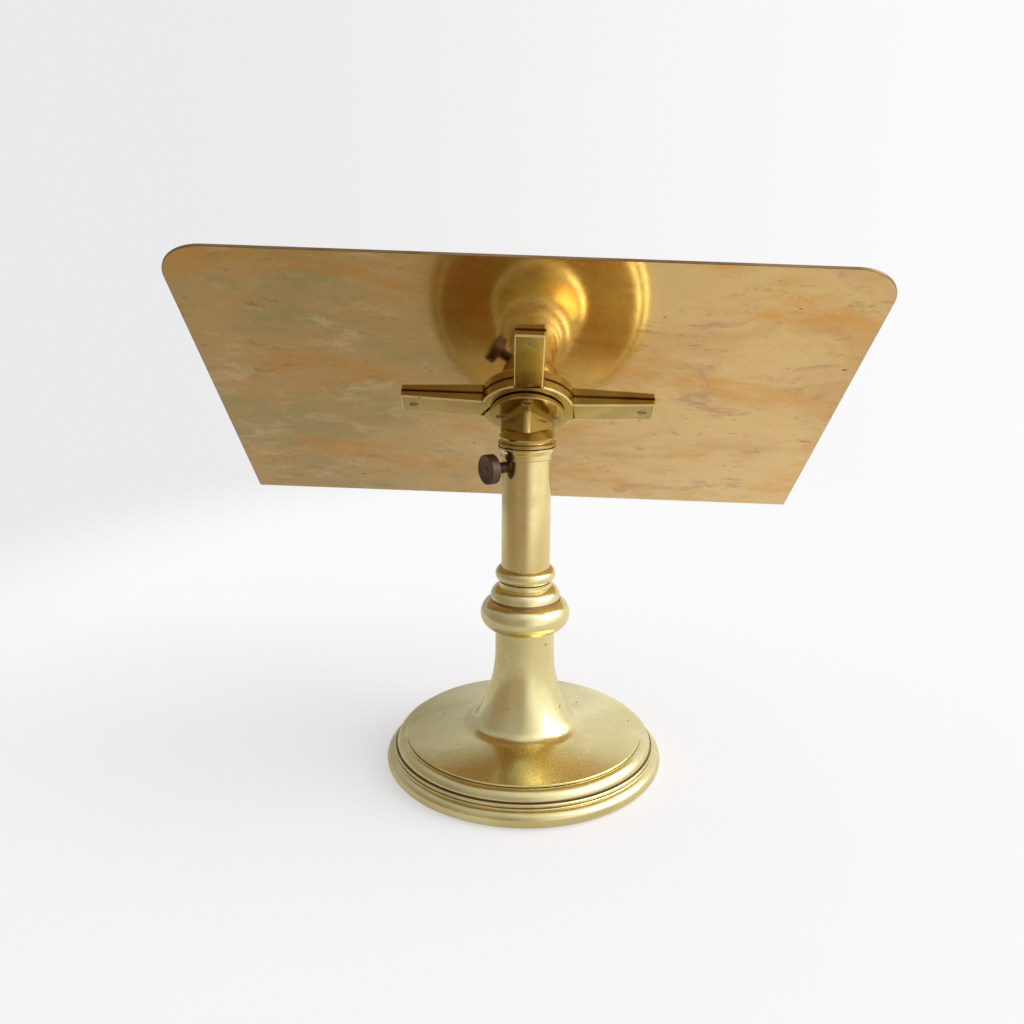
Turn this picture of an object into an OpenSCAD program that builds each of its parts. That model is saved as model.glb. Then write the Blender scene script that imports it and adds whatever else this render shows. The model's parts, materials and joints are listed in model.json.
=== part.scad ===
// Table-top brass music stand: a sloping sheet desk on a four-armed bracket, carried by a
// stem that slides and turns in a tube, over a turned pillar and a moulded round foot.
// Millimetres. Z is up, the origin is on the column's axis at the surface it stands on,
// X runs along the desk's long edge and +Y is the side of the reader.

/* [Foot] */
// Diameter over the foot's outer roll
foot_d = 205.6; // [196:0.1:216]
// Diameter of the lip of the pillar's round plate
lip_d = 176; // [170:0.1:178]
// Height of the top of that lip
lip_top = 26.4; // [26:0.1:27]

/* [Pillar and tube] */
// Diameter of the pillar's straight part
pillar_d = 43.2; // [42:0.1:46]
// Outside diameter of the tube
tube_d = 35; // [34.5:0.1:35.5]
// Bore of the tube
bore_d = 29; // [28.6:0.1:29.4]
// Height of the top of the tube
tube_top = 243.6; // [235:0.1:260]
// Diameter of the knop's large roll
knop_d = 65; // [62:0.1:70]

/* [Stem] */
// Radial clearance of the stem and the guide ring in the bore
run_clear = 0.05; // [0.02:0.01:0.1]
// Height of the foot of the stem when the desk is down
stem_foot = 98; // [96:0.5:110]

/* [Clamp screw] */
// Height of the clamp screw's axis
clamp_z = 229.5; // [225:0.1:230]
// Compass angle of the clamp screw about the column, from +X
clamp_bearing = 215; // [180:1:260]
// Diameter of its round head
clamp_head_d = 21; // [16:0.1:21]

/* [Desk] */
// Slope of the desk above the horizontal
slope = 40.5; // [35:0.1:45]
// Width of the desk
desk_w = 434; // [380:1:480]
// Length of the desk from its top edge to its fold
desk_l = 311.6; // [260:0.1:340]
// Thickness of the sheet
sheet_t = 2; // [1.5:0.1:3]
// Height of the book ledge above the sheet
ledge_h = 24; // [15:0.5:35]
// Radius of the two upper corners
corner_r = 30; // [10:1:60]
// How far the fitter left the desk out of square with the column
desk_twist = 2.3; // [0:0.1:3]
// How far the desk's middle lies to the left of the hub
desk_shift = 2.6; // [0:0.1:5]
// How far the desk's middle lies up the slope from the hub
desk_rise = 3.6; // [0:0.1:10]

/* [Bracket] */
// Diameter of the bracket's hub
hub_d = 66; // [60:1:72]
// Distance from the hub's middle to the end of an arm
arm_reach = 88.5; // [70:0.5:110]
// Width of an arm
arm_w = 20; // [14:0.5:24]
// Diameter of the round flange under the hub
flange_d = 52; // [48:0.5:56]

/* [Hidden] */
$fn = 96;
eps = 0.01;

// Foot
pad_r = 94.2;
pad_t = 1.5;
ring_wall_r = 92;
ring_web_top = lip_top - 1.8;
ring_web_t = 5;
ring_eye_r = 60;
roll_r = 6.5;
roll_c = foot_d / 2 - roll_r;
bead_r = 1.5;
ovolo_r = 7.6;
foot_screw_r = 1.8;
foot_screw_pcr = 66;

// Pillar
pillar_r = pillar_d / 2;
pillar_top = 125;
socket_floor = 80;
core_r = 13.5;
flare_r = 106;
flare_start = 90;
flare_end_angle = 29.4;
fillet_r = 14;
dome_angle = 6.2;

// Tube, knop and rings
tube_r = tube_d / 2;
bore_r = bore_d / 2;
knop_roll_r = 12;
knop_roll_z = 119;
knop_foot = 107.1;
knop_top = 143.6;
neck_r = 19.2;
neck_bead_r = 5.5;
neck_bead_z = 149;
collar_foot = 235;
collar_r = 20.4;

// Stem and guide
stem_r = bore_r - run_clear;
stem_wall = 2.5;
stem_in_r = stem_r - stem_wall;
seat_gap = 0.3;
head_foot = tube_top + seat_gap;
spigot_foot = 214;
plug_top = stem_foot + 14;
axle_r = 6;
axle_foot = stem_foot - 6;
end_gap = 0.35;
washer_t = 1.2;
guide_screw_r = 2;

// Clamp screw, measured outwards from the column's axis
shoe_gap = 0.2;
shoe_r = 3.55;
shoe_t = 1.1;
shoe_axle_r = 1.5;
shank_r = 3.92;
shank_hole_r = shank_r + run_clear;
shank_start = 16.1;
clamp_head_in = 27;
clamp_head_t = 7;
rivet_r = 2.5;
rivet_len = 5;

// Head casting, in the column's own axes
head_r = 19.6;
cove_top = 250.5;
block_side = 29.7;
block_round = 5;
block_lean = 28;
block_shift = 4.2;
hip_top = 255;
hip_r = 15;
pin_z = 237;
pin_r = 2;

// Desk axes: the origin is where the column's axis meets the flange's under face,
// Y runs down the slope to the reader and Z is the desk's normal
flange_z = 263.3;
flange_t = 3.8;
packing_t = 1;
packing_r = 24;
hub_foot = flange_t + packing_t;
hub_t = 7.5;
arm_tip_t = 5;
sheet_foot = hub_foot + hub_t;
sheet_face = sheet_foot + sheet_t;
bend_r = 3;
flange_screw_pcr = 18.7;
flange_screw_r = 2;
flange_screw_head_r = 3.4;
flange_screw_end = sheet_foot - 1;
arm_screw_r = 1.8;
arm_screw_head_r = 3.3;
arm_screw_from = 80;
screw_sink = 1.7;
slot_w = 0.9;
slot_depth = 0.9;

// ---- helpers ---------------------------------------------------------------------------

// Points on an arc about c, from angle a to angle b, both ends included
function arc(c, r, a, b, n = 12) =
    [for (i = [0 : n]) c + r * [cos(a + (b - a) * i / n), sin(a + (b - a) * i / n)]];

// A tube between two heights
module ring(r_out, r_in, z0, z1) {
    translate([0, 0, z0]) difference() {
        cylinder(r = r_out, h = z1 - z0);
        translate([0, 0, -1]) cylinder(r = r_in, h = z1 - z0 + 2);
    }
}

// A rod between two heights
module rod(r, z0, z1) {
    translate([0, 0, z0]) cylinder(r = r, h = z1 - z0);
}

// A straight screwdriver slot across a head whose face is at height z and looks down
module slot_below(r, z) {
    translate([-slot_w / 2, -r - 1, z - 1]) cube([slot_w, 2 * r + 2, slot_depth + 1]);
}

// A countersunk slotted screw: its face at height z looks down, its end is at height top
module sunk_screw(r, head_r, z, top) {
    difference() {
        union() {
            rod(r, z, top);
            translate([0, 0, z]) cylinder(r1 = head_r, r2 = r, h = screw_sink);
        }
        slot_below(head_r, z);
    }
}

// The hole that such a screw fills
module sunk_hole(r, head_r, z, top) {
    rod(r, z - 1, top);
    translate([0, 0, z]) cylinder(r1 = head_r, r2 = r, h = screw_sink);
    rod(head_r, z - 1, z + eps);
}

module on_clamp_axis() {
    translate([0, 0, clamp_z]) rotate([0, 0, clamp_bearing]) rotate([0, 90, 0]) children();
}

module on_flange() {
    translate([0, 0, flange_z]) rotate([-slope, 0, 0]) children();
}

module on_bracket() {
    on_flange() rotate([0, 0, desk_twist]) children();
}

// The four foot screws stand on a circle, midway between the axes
module at_foot_screws() {
    for (a = [45 : 90 : 315]) rotate([0, 0, a]) translate([foot_screw_pcr, 0, 0]) children();
}

// The flange has three screws: to the left, to the right and at the top
module at_flange_screws() {
    for (a = [0, 180, 270]) rotate([0, 0, a]) translate([flange_screw_pcr, 0, 0]) children();
}

// Height of an arm's tapering under face, at a distance from the hub's middle
function arm_under(r) = hub_foot + (hub_t - arm_tip_t) * (r - hub_d / 2) / (arm_reach - hub_d / 2);

// ---- foot ------------------------------------------------------------------------------

module baize_pad() {
    color("#3f5f3a") rod(pad_r - 0.1, 0, pad_t);
}

module foot_ring() {
    ovolo_c = [lip_d / 2 - 0.4, ring_web_top - ovolo_r];
    bead_c = [ovolo_c[0] + ovolo_r + 0.4, 15.5];
    color("#b9a165") difference() {
        rotate_extrude() polygon(concat(
            [[pad_r, 0]],
            arc([roll_c, roll_r], roll_r, -90, 80, 16),
            [[bead_c[0] + 1, bead_c[1] - 1.9]],
            arc(bead_c, bead_r, -50, 70, 6),
            [[bead_c[0] - 1, bead_c[1] + 1.9]],
            arc(ovolo_c, ovolo_r, 8, 88, 10),
            [[ring_eye_r, ring_web_top], [ring_eye_r, ring_web_top - ring_web_t],
             [ring_wall_r, ring_web_top - ring_web_t], [ring_wall_r, pad_t], [pad_r, pad_t]]));
        at_foot_screws() rod(foot_screw_r, ring_web_top - ring_web_t - 1, ring_web_top + 1);
    }
}

module foot_screws() {
    head_top = ring_web_top - ring_web_t;
    color("#a08348") at_foot_screws() difference() {
        union() {
            rod(foot_screw_r, head_top - eps, lip_top + 0.8);
            rod(2 * foot_screw_r, head_top - 2.6, head_top);
        }
        slot_below(2 * foot_screw_r, head_top - 2.6);
    }
}

// ---- column ----------------------------------------------------------------------------

module pillar() {
    flare_c = [pillar_r + flare_r, flare_start];
    fillet_c = flare_c - (flare_r - fillet_r) * [cos(flare_end_angle), sin(flare_end_angle)];
    color("#bda466") difference() {
        rotate_extrude() polygon(concat(
            [[tube_r, pillar_top], [tube_r, socket_floor], [core_r, socket_floor],
             [core_r, 66], [16, 58], [22, 46], [30, 36], [40, 28.5], [52, ring_web_top],
             [lip_d / 2, ring_web_top]],
            arc([lip_d / 2 - 0.6, lip_top - 0.6], 0.6, 0, 90, 4),
            arc(fillet_c, fillet_r, 270 - dome_angle, 180 + flare_end_angle, 8),
            arc(flare_c, flare_r, 179 + flare_end_angle, 180, 14),
            [[pillar_r, pillar_top]]));
        at_foot_screws() rod(foot_screw_r, ring_web_top - 1, lip_top + 0.8);
    }
}

module knop() {
    roll_c = [knop_d / 2 - knop_roll_r, knop_roll_z];
    color("#b39b55") rotate_extrude() polygon(concat(
        [[tube_r, knop_top], [tube_r, pillar_top], [pillar_r, pillar_top], [pillar_r, knop_foot]],
        arc(roll_c, knop_roll_r, -84, 63, 18),
        arc([16.2, 131.6], 9.2, 0, 70, 8),
        [[neck_r, 141.2], [neck_r, knop_top]]));
}

module neck_ring() {
    side = acos((tube_r - 16.3) / neck_bead_r);
    color("#b39b55") rotate_extrude()
        polygon(arc([16.3, neck_bead_z], neck_bead_r, -side, side, 14));
}

module outer_tube() {
    color("#b3984a") difference() {
        ring(tube_r, bore_r, socket_floor, tube_top);
        on_clamp_axis() rod(shank_hole_r, 5, tube_r + 5);
    }
}

module tube_collar() {
    color("#b89c4c") rotate_extrude() polygon(concat(
        [[tube_r, collar_foot]],
        arc([tube_r + 0.35, collar_foot + 1], 1, -80, 0, 4),
        arc([collar_r - 0.2, 239], 1.35, 180, 125, 4),
        arc([collar_r - 0.8, 242], 0.8, -40, 0, 3),
        arc([collar_r - 0.6, tube_top - 0.6], 0.6, 0, 90, 4),
        [[tube_r, tube_top]]));
}

// ---- stem ------------------------------------------------------------------------------

module guide_ring() {
    color("#a98f49") ring(stem_r, axle_r + run_clear, axle_foot + end_gap, stem_foot - end_gap);
}

module guide_washer() {
    color("#a98f49") ring(9.5, guide_screw_r, axle_foot - washer_t, axle_foot);
}

module guide_screw() {
    under = axle_foot - washer_t;
    color("#8e7a48") difference() {
        union() {
            rod(guide_screw_r, under - eps, stem_foot + 6);
            rod(2 * guide_screw_r, under - 2.8, under);
        }
        slot_below(2 * guide_screw_r, under - 2.8);
    }
}

module stem_plug() {
    color("#a98f49") difference() {
        union() {
            rod(stem_in_r, stem_foot, plug_top);
            rod(axle_r, axle_foot, stem_foot + eps);
        }
        rod(guide_screw_r, axle_foot - 1, stem_foot + 6);
    }
}

module stem_tube() {
    color("#b3984a") difference() {
        ring(stem_r, stem_in_r, stem_foot, head_foot);
        translate([0, 0, pin_z]) rotate([0, 90, 0]) rod(pin_r, -20, 20);
    }
}

// ---- clamp screw -----------------------------------------------------------------------

module clamp_shoe() {
    face = stem_r + shoe_gap;
    color("#b08d45") on_clamp_axis() union() {
        rod(shoe_r, face, face + shoe_t);
        rod(shoe_axle_r, face + shoe_t - eps, shank_start + 2);
    }
}

module clamp_screw_shank() {
    color("#5a4434") on_clamp_axis() difference() {
        union() {
            rod(shank_r, shank_start, clamp_head_in);
            rod(rivet_r, clamp_head_in - eps, clamp_head_in + rivet_len);
        }
        rod(shoe_axle_r + run_clear, shank_start - 1, shank_start + 2.4);
    }
}

module clamp_screw_head() {
    r = clamp_head_d / 2;
    out = clamp_head_in + clamp_head_t;
    color("#4b382c") on_clamp_axis() rotate_extrude() polygon(concat(
        [[rivet_r, clamp_head_in]],
        arc([r - 0.8, clamp_head_in + 0.8], 0.8, -90, 0, 4),
        arc([r - 0.8, out - 0.8], 0.8, 0, 90, 4),
        [[0, out], [0, clamp_head_in + rivet_len], [rivet_r, clamp_head_in + rivet_len]]));
}

// ---- head ------------------------------------------------------------------------------

// A square with rounded corners, one corner towards -Y
module block_outline() {
    half = block_side / 2;
    inset = half - block_round;
    rotate(45) union() {
        square([block_side, 2 * inset], center = true);
        square([2 * inset, block_side], center = true);
        for (x = [-1, 1], y = [-1, 1]) translate([x * inset, y * inset]) circle(block_round);
    }
}

// A large plate that is empty below the flange's top face
module above_flange() {
    on_flange() translate([-60, -60, flange_t]) cube([120, 120, 60]);
}

module head_casting() {
    color("#b2944a") difference() {
        union() {
            rod(stem_in_r, spigot_foot, head_foot + eps);
            rotate_extrude() polygon(concat(
                [[0, head_foot]],
                arc([collar_r - 0.6, head_foot + 0.6], 0.6, -90, 0, 4),
                arc([collar_r - 0.9, head_foot + 1.7], 0.9, 0, 60, 4),
                arc([collar_r + 1.6, 248.4], 3.6, 200, 150, 6),
                [[head_r, cove_top], [0, cove_top]]));
            translate([0, 0, cove_top - eps]) cylinder(r1 = head_r, r2 = hip_r, h = hip_top - cove_top);
            intersection() {
                rod(head_r, cove_top - eps, 285);
                translate([0, 0, 250]) rotate([-block_lean, 0, 0])
                    translate([0, block_shift, -20]) linear_extrude(60) block_outline();
            }
            on_flange() rod(flange_d / 2, 0, flange_t);
        }
        above_flange();
        translate([0, 0, pin_z]) rotate([0, 90, 0]) rod(pin_r, -20, 20);
        on_flange() at_flange_screws()
            sunk_hole(flange_screw_r, flange_screw_head_r, 0, flange_t + 1);
    }
}

module head_pin() {
    color("#8e7a48") translate([0, 0, pin_z]) rotate([0, 90, 0])
        rod(pin_r, -stem_r + 0.15, stem_r - 0.15);
}

module packing_washer() {
    color("#2e2620") on_flange() difference() {
        rod(packing_r, flange_t, hub_foot);
        at_flange_screws() rod(flange_screw_r, flange_t - 1, hub_foot + 1);
    }
}

module flange_screws() {
    color("#6d5a3a") on_flange() at_flange_screws()
        sunk_screw(flange_screw_r, flange_screw_head_r, 0, flange_screw_end);
}

// ---- bracket and desk ------------------------------------------------------------------

// Side view of one arm, drawn along X and swept over its width
module arm() {
    rotate([90, 0, 0]) linear_extrude(arm_w, center = true) polygon([
        [0, hub_foot], [hub_d / 2, hub_foot], [arm_reach, arm_under(arm_reach)],
        [arm_reach, sheet_foot], [0, sheet_foot]]);
}

module at_arm_screws() {
    for (i = [0 : 3]) rotate([0, 0, 90 * i]) translate([arm_screw_from, 0, 0]) {
        $under = arm_under(arm_screw_from);
        children();
    }
}

module desk_bracket() {
    color("#b4924a") difference() {
        on_bracket() difference() {
            union() {
                rod(hub_d / 2, hub_foot, sheet_foot);
                for (i = [0 : 3]) rotate([0, 0, 90 * i]) arm();
            }
            at_arm_screws() sunk_hole(arm_screw_r, arm_screw_head_r, $under, sheet_foot + 1);
        }
        on_flange() at_flange_screws() rod(flange_screw_r, hub_foot - 1, flange_screw_end);
    }
}

module arm_screws() {
    color("#8e7440") on_bracket() at_arm_screws()
        sunk_screw(arm_screw_r, arm_screw_head_r, $under, sheet_face);
}

// The flat sheet, from its rounded upper corners to the start of the bend
module sheet_outline() {
    inset = desk_w / 2 - corner_r;
    top = -desk_l / 2;
    union() {
        translate([-desk_w / 2, top + corner_r]) square([desk_w, desk_l - corner_r - bend_r]);
        translate([-inset, top]) square([2 * inset, corner_r + 1]);
        for (x = [-inset, inset]) translate([x, top + corner_r]) circle(corner_r);
    }
}

// Section through the bend and the ledge: X is down the slope, Y is the desk's normal
module ledge_section() {
    fold = desk_l / 2;
    polygon(concat(
        [[fold - bend_r - 5, 0]],
        arc([fold - bend_r, bend_r], bend_r, -90, 0, 8),
        arc([fold - sheet_t / 2, sheet_t + ledge_h - sheet_t / 2], sheet_t / 2, 0, 180, 6),
        arc([fold - bend_r, bend_r], bend_r - sheet_t, 0, -90, 6),
        [[fold - bend_r - 5, sheet_t]]));
}

module desk_plate() {
    color("#b08f55") on_bracket() difference() {
        translate([-desk_shift, -desk_rise, sheet_foot]) union() {
            linear_extrude(sheet_t) sheet_outline();
            translate([-desk_w / 2, 0, 0]) rotate([90, 0, 90])
                linear_extrude(desk_w) ledge_section();
        }
        at_arm_screws() rod(arm_screw_r, sheet_foot - 1, sheet_face + 1);
    }
}

baize_pad();
foot_ring();
foot_screws();
pillar();
knop();
neck_ring();
outer_tube();
tube_collar();
guide_ring();
guide_washer();
guide_screw();
stem_plug();
stem_tube();
clamp_shoe();
clamp_screw_shank();
clamp_screw_head();
head_casting();
head_pin();
packing_washer();
flange_screws();
desk_bracket();
arm_screws();
desk_plate();
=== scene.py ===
# %% [markdown]
# # A brass music stand for a table
#
# The stand is a sloping sheet-brass desk on a four-armed bracket. A cast head joins the bracket to
# a stem, the stem slides and turns in a tube, and the tube rises from a turned pillar on a moulded
# round foot. All of it is brass, and brass is mostly a mirror, so two things decide how it looks:
# smooth, rounded meshes, and a room worth reflecting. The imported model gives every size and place.

# %% Load the fixed frame
import json
import math

import bpy
from mathutils import Matrix, Vector


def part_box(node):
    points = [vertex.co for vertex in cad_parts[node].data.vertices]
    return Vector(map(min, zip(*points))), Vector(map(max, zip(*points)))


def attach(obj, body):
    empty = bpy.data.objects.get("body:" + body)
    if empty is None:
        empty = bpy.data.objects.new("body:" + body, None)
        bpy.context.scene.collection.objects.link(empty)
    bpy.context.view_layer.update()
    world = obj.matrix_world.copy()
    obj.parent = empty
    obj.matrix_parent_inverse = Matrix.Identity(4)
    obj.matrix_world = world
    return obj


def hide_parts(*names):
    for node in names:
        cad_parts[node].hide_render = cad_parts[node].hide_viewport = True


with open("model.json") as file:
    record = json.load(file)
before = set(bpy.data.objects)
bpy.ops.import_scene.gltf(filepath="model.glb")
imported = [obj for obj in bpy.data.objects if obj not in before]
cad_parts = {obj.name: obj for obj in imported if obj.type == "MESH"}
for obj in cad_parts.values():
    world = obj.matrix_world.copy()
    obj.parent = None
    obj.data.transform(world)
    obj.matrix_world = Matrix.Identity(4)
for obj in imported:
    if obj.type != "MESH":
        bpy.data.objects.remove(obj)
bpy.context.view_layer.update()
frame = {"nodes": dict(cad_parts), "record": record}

MM = 0.001

# %% [markdown]
# ## Camera
#
# The camera stands behind the desk, a little to the left of the column as the reader sees it, and
# looks slightly down. A long look along a slightly turned heading gives the foot its flat ellipse
# and makes the desk's far edge shorter than the near one. The camera's axes are set as a matrix,
# because heading, pitch and a small roll are easier to read one by one than as Euler angles.

# %% Place the camera
camera_place = Vector((26.8, -739.1, 401.0)) * MM
heading = math.radians(-2.86)
pitch = math.radians(15.6)
roll = math.radians(0.46)

ahead = math.cos(pitch)
forward = Vector((math.sin(heading) * ahead, math.cos(heading) * ahead, -math.sin(pitch)))
level_right = Vector((math.cos(heading), -math.sin(heading), 0))
level_up = level_right.cross(forward)
right = level_right * math.cos(roll) + level_up * math.sin(roll)
up = level_up * math.cos(roll) - level_right * math.sin(roll)

camera_data = bpy.data.cameras.new("studio_camera")
camera_data.sensor_width = 36
camera_data.lens = 37.76
camera_data.dof.use_dof = False
camera_data.clip_start = 0.01
camera = bpy.data.objects.new("studio_camera", camera_data)
bpy.context.scene.collection.objects.link(camera)
turned = Matrix((right, up, -forward)).transposed().to_4x4()
camera.matrix_world = Matrix.Translation(camera_place) @ turned
bpy.context.scene.camera = camera
print("camera", round((camera_place.xy).length, 3), "m from the column")

# %% [markdown]
# ## Studio
#
# Polished brass shows its surroundings, so the studio is drawn with care and kept plain. The floor
# is a pale round sheet that fades out just beyond the stand. It glows a little, a painted fill light
# that thins the stand's shadow to a faint one. The world around it is grey and warm on the left and
# behind the camera, bright on the right, and has one strong soft window high on the right. The camera
# itself sees only a plain pale backdrop, because a camera ray asks for a different world colour from
# a reflected one. The floor does the same: it is pale to the camera, and greyer and warmer in the
# brass, on the left above all. This is a painted shade in its reflection, and it gives the desk's
# underside its depth. The standard view transform keeps gold tones saturated.

# %% Helpers for shader nodes
def add_node(tree, kind, inputs=None, **settings):
    """Adds a node; an input is given a value or linked to another node's socket."""
    made = tree.nodes.new(kind)
    for key, value in settings.items():
        setattr(made, key, value)
    for key, value in (inputs or {}).items():
        if isinstance(value, bpy.types.NodeSocket):
            tree.links.new(value, made.inputs[key])
        else:
            made.inputs[key].default_value = value
    return made


def band(tree, value, low, high, to_low=0.0, to_high=1.0):
    """A smooth step of value from low to high."""
    inputs = {"Value": value, "From Min": low, "From Max": high, "To Min": to_low, "To Max": to_high}
    made = add_node(tree, "ShaderNodeMapRange", inputs, interpolation_type="SMOOTHSTEP")
    return made.outputs["Result"]


def maths(tree, operation, a, b=0.0):
    return add_node(tree, "ShaderNodeMath", {0: a, 1: b}, operation=operation).outputs[0]


def blend_value(tree, share, a, b):
    made = add_node(tree, "ShaderNodeMix", {0: share}, data_type="FLOAT")
    for socket, value in ((made.inputs[2], a), (made.inputs[3], b)):
        if isinstance(value, bpy.types.NodeSocket):
            tree.links.new(value, socket)
        else:
            socket.default_value = value
    return made.outputs[0]


def blend_colour(tree, share, a, b):
    """a where share is 0 and b where it is 1; a colour is a tuple or a socket."""
    made = add_node(tree, "ShaderNodeMix", data_type="RGBA")
    for socket, value in ((made.inputs[0], share), (made.inputs[6], a), (made.inputs[7], b)):
        if isinstance(value, bpy.types.NodeSocket):
            tree.links.new(value, socket)
        else:
            socket.default_value = (*value, 1) if isinstance(value, tuple) else value
    return made.outputs[2]


# %% Lay the floor
floor_r = 0.9
floor_middle = (0.1, 0.25, 0)
under_foot = -0.0002
bpy.ops.object.select_all(action="DESELECT")
bpy.ops.mesh.primitive_circle_add(vertices=96, radius=floor_r, fill_type="NGON",
                                  location=(*floor_middle[:2], under_foot))
floor = bpy.context.active_object
floor.name = "floor"
bpy.ops.object.transform_apply(location=True, rotation=True, scale=True)
paper = bpy.data.materials.new("pale_paper")
paper.use_nodes = True
tree = paper.node_tree
paper_shader = tree.nodes["Principled BSDF"]
paper_shader.inputs["Roughness"].default_value = 0.8
paper_shader.inputs["Specular IOR Level"].default_value = 0.0
on_floor = add_node(tree, "ShaderNodeTexCoord").outputs["Object"]
seen = add_node(tree, "ShaderNodeLightPath").outputs["Is Camera Ray"]
floor_x, floor_y = add_node(tree, "ShaderNodeSeparateXYZ", {"Vector": on_floor}).outputs[:2]
# To rays from the brass the floor is darker on the left and at the front: a painted shade in its reflection.
reflected_shade = maths(tree, "MULTIPLY", band(tree, floor_x, -0.25, 0.25, 0.62, 0.98),
                 band(tree, floor_y, -0.25, 0.2, 0.85, 1))
paper_level = blend_value(tree, seen, reflected_shade, 1.0)
# The glow is painted fill light, which thins the stand's shadow on the floor.
tree.links.new(maths(tree, "MULTIPLY", paper_level, 0.5), paper_shader.inputs["Emission Strength"])
paper_colour = blend_colour(tree, paper_level, (0.05, 0.05, 0.05), (0.42, 0.42, 0.43))
tree.links.new(paper_colour, paper_shader.inputs["Base Color"])
paper_glow = blend_colour(tree, seen, (1.0, 0.89, 0.73), (0.99, 0.99, 1.0))
tree.links.new(paper_glow, paper_shader.inputs["Emission Color"])
from_middle = add_node(tree, "ShaderNodeVectorMath", {0: on_floor, 1: floor_middle},
                       operation="DISTANCE").outputs["Value"]
tree.links.new(band(tree, from_middle, 0.6 * floor_r, 0.98 * floor_r, 1, 0), paper_shader.inputs["Alpha"])
floor.data.materials.append(paper)
bpy.context.scene.view_settings.view_transform = "Standard"

# %% Paint the world
world = bpy.data.worlds.new("soft_studio")
world.use_nodes = True
bpy.context.scene.world = world
sky = world.node_tree
sky.nodes.clear()
towards = add_node(sky, "ShaderNodeTexCoord").outputs["Generated"]
to_right, to_back, to_top = add_node(sky, "ShaderNodeSeparateXYZ", {"Vector": towards}).outputs[:3]

front = maths(sky, "ADD", band(sky, to_right, -0.9, -0.5, 0.34, 0.44),
              band(sky, to_right, -0.1, 0.65, 0, 0.74))
rear = band(sky, to_right, -0.28, 0.14, 0.40, 0.92)
room = blend_value(sky, band(sky, to_back, -0.1, 0.55), front, rear)
room = blend_value(sky, band(sky, to_top, 0.4, 0.8), room, band(sky, to_right, -0.4, 0.4, 0.5, 1.15))
window = maths(sky, "MULTIPLY", band(sky, to_back, -0.6, -0.45), band(sky, to_back, 0.3, 0.45, 1, 0))
window = maths(sky, "MULTIPLY", window, band(sky, to_top, 0.2, 0.32))
window = maths(sky, "MULTIPLY", window, band(sky, to_top, 0.66, 0.78, 1, 0))
window = maths(sky, "MULTIPLY", window, band(sky, to_right, 0.3, 0.42))
room = maths(sky, "ADD", room, maths(sky, "MULTIPLY", window, 4.2))
warmth = maths(sky, "MULTIPLY", band(sky, to_right, -0.3, 0.4, 1, 0), band(sky, to_back, -0.1, 0.4, 1, 0))
warmth = maths(sky, "MULTIPLY", warmth, band(sky, to_top, 0.1, 0.6, 1, 0))
tint = blend_colour(sky, warmth, (1.0, 0.99, 0.98), (1.0, 0.81, 0.62))
lit = add_node(sky, "ShaderNodeBackground", {"Color": tint, "Strength": room})
plain = add_node(sky, "ShaderNodeBackground", {"Color": (0.99, 0.99, 1.0, 1)})
sky.links.new(band(sky, to_right, -0.35, 0.4, 0.84, 0.98), plain.inputs["Strength"])
seen = add_node(sky, "ShaderNodeLightPath").outputs["Is Camera Ray"]
mixed = add_node(sky, "ShaderNodeMixShader", {0: seen, 1: lit.outputs[0], 2: plain.outputs[0]})
add_node(sky, "ShaderNodeOutputWorld", {"Surface": mixed.outputs[0]})
print("world drawn with", len(sky.nodes), "nodes")

# %% [markdown]
# ## Helpers for modelling
#
# Operators act on whatever is selected, and loading leaves every CAD node selected. So each piece
# starts by selecting nothing. `combine` joins, cuts or clips one solid with another by a boolean.
# `finish_piece` does what every finished piece needs: it applies the modifiers, smooths the faces
# up to a crease angle, gives the piece its material and slot, lets it ride on its body and hides
# the CAD node that it stands for.

# %% Select nothing, and finish a piece
def select_only(piece):
    bpy.ops.object.select_all(action="DESELECT")
    piece.select_set(True)
    bpy.context.view_layer.objects.active = piece


def apply_modifiers(piece):
    select_only(piece)
    for modifier in list(piece.modifiers):
        bpy.ops.object.modifier_apply(modifier=modifier.name)


def place_in_mesh(piece, matrix=None):
    """Leaves the object at the origin, with its place in its mesh."""
    select_only(piece)
    if matrix is not None:
        piece.matrix_world = matrix @ piece.matrix_world
    bpy.ops.object.transform_apply(location=True, rotation=True, scale=True)


def combine(piece, other, operation="UNION"):
    """Joins a piece with another solid, or cuts or clips it by one. The other solid is used up."""
    step = piece.modifiers.new("combine", "BOOLEAN")
    step.operation, step.object, step.solver = operation, other, "EXACT"
    apply_modifiers(piece)
    bpy.data.objects.remove(other)


def drill(piece, radius, length, matrix):
    """Cuts a round hole of that length along the matrix's Z."""
    bpy.ops.object.select_all(action="DESELECT")
    bpy.ops.mesh.primitive_cylinder_add(vertices=48, radius=radius * MM, depth=length * MM)
    cutter = bpy.context.active_object
    place_in_mesh(cutter, matrix)
    combine(piece, cutter, "DIFFERENCE")


def finish_piece(piece, node, material, body, crease=40, flat_faces=False):
    apply_modifiers(piece)
    bpy.ops.object.shade_smooth_by_angle(angle=math.radians(crease))
    if flat_faces:
        even = piece.modifiers.new("even_normals", "WEIGHTED_NORMAL")
        even.weight, even.keep_sharp = 100, True
        apply_modifiers(piece)
    if not piece.data.materials:
        piece.data.materials.append(material)
    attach(piece, body)
    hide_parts(node)
    print(piece.name, len(piece.data.polygons), "faces, rides on", body)
    return piece


# %% [markdown]
# ## Turned pieces
#
# Most of the column was made on a lathe, and Blender has the same idea: draw half of the section
# beside the axis and spin it. The section starts as a plane merged to one vertex, which is then
# extruded from point to point. Round stretches are arcs worked out by `arc`, so a bead has an even
# curve and not a hand-placed one. After the spin the first and last rows are merged, and the
# normals are recalculated because a spin can turn a shape inside out.

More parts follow.
